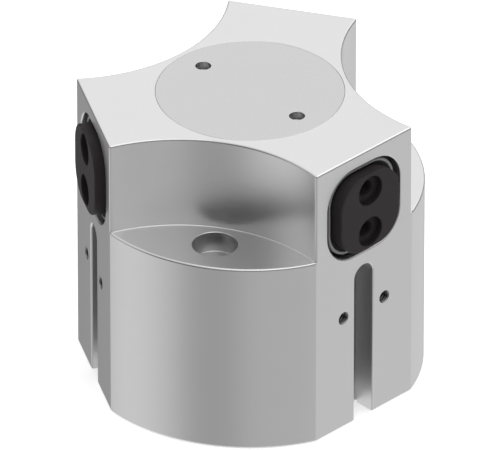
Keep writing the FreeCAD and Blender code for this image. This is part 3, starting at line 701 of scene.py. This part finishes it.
def make_housing():
    piece = shell()
    cutters = []
    for angle in ARMS:
        cutters += arm_cutters(angle)
    cutters += [bolt_cutter(angle) for angle in LEDGES]
    recess = COVER_RADIUS + COVER_GAP
    cutters.append(lathe("cover_recess", [
        (0, HEIGHT + CLEAR), (recess + RECESS_EDGE + CLEAR, HEIGHT + CLEAR),
        (recess + RECESS_EDGE, HEIGHT), (recess, HEIGHT - RECESS_EDGE),
        (recess, HEIGHT - RECESS_DEPTH), (0, HEIGHT - RECESS_DEPTH)], 180))
    cutters.append(lathe("cap_bore", [
        (0, -CLEAR), (CAP_BORE + CLEAR, -CLEAR), (CAP_BORE, CAP_BORE_EDGE), (CAP_BORE, CAP_TOP),
        (0, CAP_TOP)], 144))
    cutters += [port_cutter(side, height) for side, height in PORTS]
    cutters += [dowel_cutter(angle) for angle in DOWELS]
    cut(piece, cutters)
    dress(piece, SATIN, "body_aluminium", "base", "housing")
    # Painted shade: darker copies of the aluminium in the slots, counterbores, threaded holes,
    # countersinks and channels; the slots are also painted lighter toward the foot
    shade(piece, SLOT_PAINTED_SHADE_AND_LIGHT, at_any(ARMS, in_slot))
    shade(piece, MILLED_PAINTED_SHADE, at_any(LEDGES, in_bolt_head))
    shade(piece, THREAD_PAINTED_SHADE, at_any(ARMS, in_side_hole))
    shade(piece, COUNTERSINK_PAINTED_SHADE, at_any(ARMS, in_side_sink))
    shade(piece, CHANNEL_PAINTED_SHADE, at_any(ARMS, in_channel))


def make_cover():
    """The cover disc with its two pin spanner holes."""
    bottom = HEIGHT - COVER_THICKNESS
    cover = lathe("cover", [
        (0, HEIGHT), (COVER_RADIUS - COVER_EDGE, HEIGHT), (COVER_RADIUS, HEIGHT - COVER_EDGE),
        (COVER_RADIUS, bottom), (0, bottom)], 180)
    profile = [(0, CLEAR), (SPANNER_RADIUS + CLOSE, CLEAR), (SPANNER_RADIUS + SPANNER_EDGE, 0),
               (SPANNER_RADIUS, -SPANNER_EDGE), (SPANNER_RADIUS, -SPANNER_DEPTH),
               (0, -SPANNER_DEPTH - 0.4 * MM)]
    cut(cover, [lathe("spanner_hole", profile, 48,
                      Matrix.Translation((side * SPANNER_REACH, 0, HEIGHT)))
                for side in (-1, 1)])
    dress(cover, COVER, "cover_aluminium", "base", "cover_disc")
    # Painted shade: a darker copy of the cover's aluminium in the spanner holes
    shade(cover, BORE_PAINTED_SHADE, in_spanner_hole)


# Jaws, wiper frames and wiper lips
def jaw_square(margin, corner):
    """The jaw's outline grown by a margin, with corners of its own."""
    return square(JAW_WIDTH / 2 + margin, JAW_HEIGHT / 2 + margin, corner, JAW_MID)


def flank(height):
    """Reach of the driver's inclined flank at a height."""
    return FLANK_REACH + FLANK_LEAN * (height - JAW_LOW.z)


def make_jaw(number, angle):
    place = about_axis(angle) @ OUTWARD
    side_on = about_axis(angle) @ UPRIGHT
    jaw = prism("jaw_form_%d" % number, jaw_square(0, JAW_CORNER), JAW_BACK, JAW_FRONT, place)
    low = JAW_LOW.z - CLEAR
    top = JAW_HIGH.z + CLEAR
    wedge = [(0, low), (flank(low) + FLANK_GAP, low), (flank(top) + FLANK_GAP, top), (0, top)]
    cut(jaw, [prism("wedge", wedge, -JAW_WIDTH, JAW_WIDTH, side_on)])
    round_edges(jaw, JAW_EDGE, segments=4, angle=60)
    recess = [(0, CLEAR), (SLEEVE_MOUTH, CLEAR), (SLEEVE_RADIUS + SLEEVE_EDGE, 0),
              (SLEEVE_RADIUS, -SLEEVE_EDGE), (SLEEVE_RADIUS, -SLEEVE_DEPTH)]
    thread = thread_profile(JAW_HOLE_RADIUS, JAW_HOLE_DEPTH, JAW_HOLE_PITCH, JAW_HOLE_SINK, 0.5)
    profile = sunk_thread(recess, SLEEVE_DEPTH, thread)
    holes = []
    for side in (-1, 1):
        mouth = Matrix.Translation((0, JAW_MID + side * JAW_HOLE_REACH, JAW_FRONT))
        holes.append(lathe("jaw_hole", profile, 64, place @ mouth))
    cut(jaw, holes)
    low = JAW_LOW.z + HOOK_TRIM
    top = JAW_HIGH.z - HOOK_TRIM
    for near, half in (HOOK_NECK, HOOK_HEAD):
        strip = [(flank(low) - HOOK_REACH, low), (flank(low) - near, low),
                 (flank(top) - near, top), (flank(top) - HOOK_REACH, top)]
        join(jaw, [prism("hook", strip, -half, half, side_on)])
    dress(jaw, BLACK, "jaw_black", "jaw_%d_body" % number, "jaw_%d" % number)
    # Painted shade: a darker copy of the jaw's black in its holes
    shade(jaw, JAW_HOLE_PAINTED_SHADE, at_any(ARMS, in_jaw_hole))


def make_wiper(number, angle):
    """The black lip that runs on a jaw and the grey frame that carries it."""
    place = about_axis(angle) @ OUTWARD
    lip = prism("wiper_lip_form_%d" % number, jaw_square(LIP_REACH, LIP_CORNER), LIP_BACK,
                WIPER_FRONT - LIP_GAP, place)
    cut(lip, [prism("jaw_way", jaw_square(LIP_GAP, JAW_CORNER + LIP_GAP), 0, BODY_RADIUS, place)])
    dress(lip, RUBBER, "seal_rubber", "base", "wiper_lip_%d" % number)

    root = WIPER_FRONT - WIPER_RISE
    half = CHANNEL_HALF - WIPER_GAP
    carrier = prism("wiper_rim_%d" % number,
                    square(half, half, CHANNEL_CORNER - WIPER_GAP, JAW_MID), WIPER_BACK, root,
                    place)
    join(carrier, [prism("raised", jaw_square(WIPER_RIM, LIP_CORNER), root - CLEAR, WIPER_FRONT,
                         place)])
    cut(carrier, [prism("window", jaw_square(LIP_REACH + LIP_SEAT, LIP_CORNER + LIP_SEAT),
                        WIPER_BACK - CLEAR, BODY_RADIUS, place)])
    round_edges(carrier, WIPER_EDGE)
    dress(carrier, GREY, "wiper_grey", "base", "wiper_frame_%d" % number)
    # Painted shade: the flange behind the raised rim is near black
    shade(carrier, FLANGE_PAINTED_SHADE, at_any(ARMS, in_flange))


make_housing()
make_cover()
for number, angle in enumerate(ARMS, start=1):
    make_jaw(number, angle)
    make_wiper(number, angle)

# Floor: pale, whiter as the camera sees it, and see-through from below
FLOOR_SIZE = 12
FLOOR_DROP = 0.1 * MM           # clear of the bottom face
FLOOR_GLOW = 0.45
bpy.ops.mesh.primitive_plane_add(size=FLOOR_SIZE, location=(0, 0, -FLOOR_DROP))
floor = bpy.context.object
floor.name = "floor"
material, tree = new_material("pale_floor")
shader = tree.nodes["Principled BSDF"]
shader.inputs["Base Color"].default_value = (0.85, 0.85, 0.85, 1)
shader.inputs["Roughness"].default_value = 0.9
shader.inputs["Emission Color"].default_value = (1, 1, 1, 1)
tree.links.new(calculate(tree, "MULTIPLY", light_path(tree, "Is Camera Ray"), FLOOR_GLOW),
               shader.inputs["Emission Strength"])
below = tree.nodes.new("ShaderNodeMixShader")
tree.links.new(tree.nodes.new("ShaderNodeNewGeometry").outputs["Backfacing"], below.inputs[0])
tree.links.new(shader.outputs["BSDF"], below.inputs[1])
tree.links.new(tree.nodes.new("ShaderNodeBsdfTransparent").outputs["BSDF"], below.inputs[2])
tree.links.new(below.outputs["Shader"], tree.nodes["Material Output"].inputs["Surface"])
floor.data.materials.append(material)
floor.visible_glossy = False


def towards(turn, rise):
    """Unit direction at an azimuth from the first arm and an elevation, in degrees."""
    turn = math.radians(turn)
    rise = math.radians(rise)
    return Vector((math.cos(turn) * math.cos(rise), math.sin(turn) * math.cos(rise),
                   math.sin(rise)))


# Camera, at the photograph's angle and with its long lens
CAMERA_TURN = -44.64
CAMERA_RISE = 31.82
CAMERA_REACH = 3.457            # from the middle of the top
AIM_DEPTH = 36.2 * MM           # below the middle of the top
FOCAL_PIXELS = 15177
IMAGE_WIDTH = 500
SENSOR_WIDTH = 36
camera_data = bpy.data.cameras.new("camera")
camera = bpy.data.objects.new("camera", camera_data)
bpy.context.scene.collection.objects.link(camera)
camera_data.sensor_width = SENSOR_WIDTH
camera_data.lens = FOCAL_PIXELS / IMAGE_WIDTH * SENSOR_WIDTH
camera_data.clip_end = 20
camera.location = Vector((0, 0, HEIGHT)) + towards(CAMERA_TURN, CAMERA_RISE) * CAMERA_REACH
aim = Vector((0, 0, HEIGHT - AIM_DEPTH))
camera.rotation_euler = (aim - camera.location).to_track_quat("-Z", "Y").to_euler()
bpy.context.scene.camera = camera

bpy.context.scene.view_settings.view_transform = "Standard"

# Studio surround: a level light, a shaded belt round the horizon, and broad lights and shades
ROOM_LIGHT = 0.64
LEAST_LIGHT = 0.03
HORIZON = (8, 24, -0.55)        # full below, gone beyond, strength
SOFT_LIGHTS = (
    # azimuth, elevation, full inside, gone outside, strength
    (0, 90, 75, 95, 0.22),          # upper half of the room
    (-45, 70, 8, 27, 0.85),         # above the camera, mirrored by the rounded rims
    (72, 50, 14, 32, 0.80),         # behind on the right, mirrored by the top's rim
    (5, 55, 5, 26, 0.60),           # above on the right, mirrored by the pockets' rims
    (135, 32, 8, 55, 0.33),         # broad light behind, mirrored by the top
    (0, -90, 15, 45, 0.35),         # below, mirrored by the ends of the slots
    (45, -32, 5, 45, 0.16),         # mirrored by the right face
    (-150, -32, 15, 55, 0.28),      # mirrored by the left of the round foot
    (-140, 32, 5, 30, 0.17),        # mirrored by the right of the ledge
    (105, -32, 6, 32, 0.18),        # mirrored by the foot's right end
    (165, -32, 10, 45, -0.44),      # shade mirrored by the left face
    (-70, -30, 3, 24, -0.18),       # shade mirrored by the middle of the foot
    (-88, 32, 3, 37, -0.45),        # shade mirrored by the ledge
)


def lobe(tree, direction, axis, inner, outer, strength):
    """A broad soft light toward an axis, full inside one angle and gone outside another."""
    dot = tree.nodes.new("ShaderNodeVectorMath")
    dot.operation = "DOT_PRODUCT"
    dot.inputs[1].default_value = axis
    tree.links.new(direction, dot.inputs[0])
    return map_range(tree, dot.outputs["Value"], math.cos(math.radians(outer)),
                     math.cos(math.radians(inner)), 0, strength, "SMOOTHSTEP")


def belt(tree, direction, inner, outer, strength):
    """A belt round the horizon, full below one elevation and gone beyond another."""
    split = tree.nodes.new("ShaderNodeSeparateXYZ")
    tree.links.new(direction, split.inputs[0])
    level = calculate(tree, "ABSOLUTE", split.outputs["Z"])
    return map_range(tree, level, math.sin(math.radians(inner)), math.sin(math.radians(outer)),
                     strength, 0, "SMOOTHSTEP")


def make_world():
    """The surround as the object sees it; the camera itself sees plain white there."""
    world = bpy.data.worlds.new("studio")
    bpy.context.scene.world = world
    world.use_nodes = True
    tree = world.node_tree
    direction = tree.nodes.new("ShaderNodeTexCoord").outputs["Generated"]
    light = belt(tree, direction, *HORIZON)
    for turn, rise, inner, outer, strength in SOFT_LIGHTS:
        soft = lobe(tree, direction, towards(turn, rise), inner, outer, strength)
        light = calculate(tree, "ADD", light, soft)
    light = calculate(tree, "ADD", light, ROOM_LIGHT)
    light = calculate(tree, "MAXIMUM", light, LEAST_LIGHT)
    white = tree.nodes.new("ShaderNodeMix")
    white.inputs["B"].default_value = 1
    tree.links.new(light_path(tree, "Is Camera Ray"), white.inputs["Factor"])
    tree.links.new(light, white.inputs["A"])
    background = tree.nodes["Background"]
    background.inputs["Color"].default_value = (1, 1, 1, 1)
    tree.links.new(white.outputs["Result"], background.inputs["Strength"])


make_world()
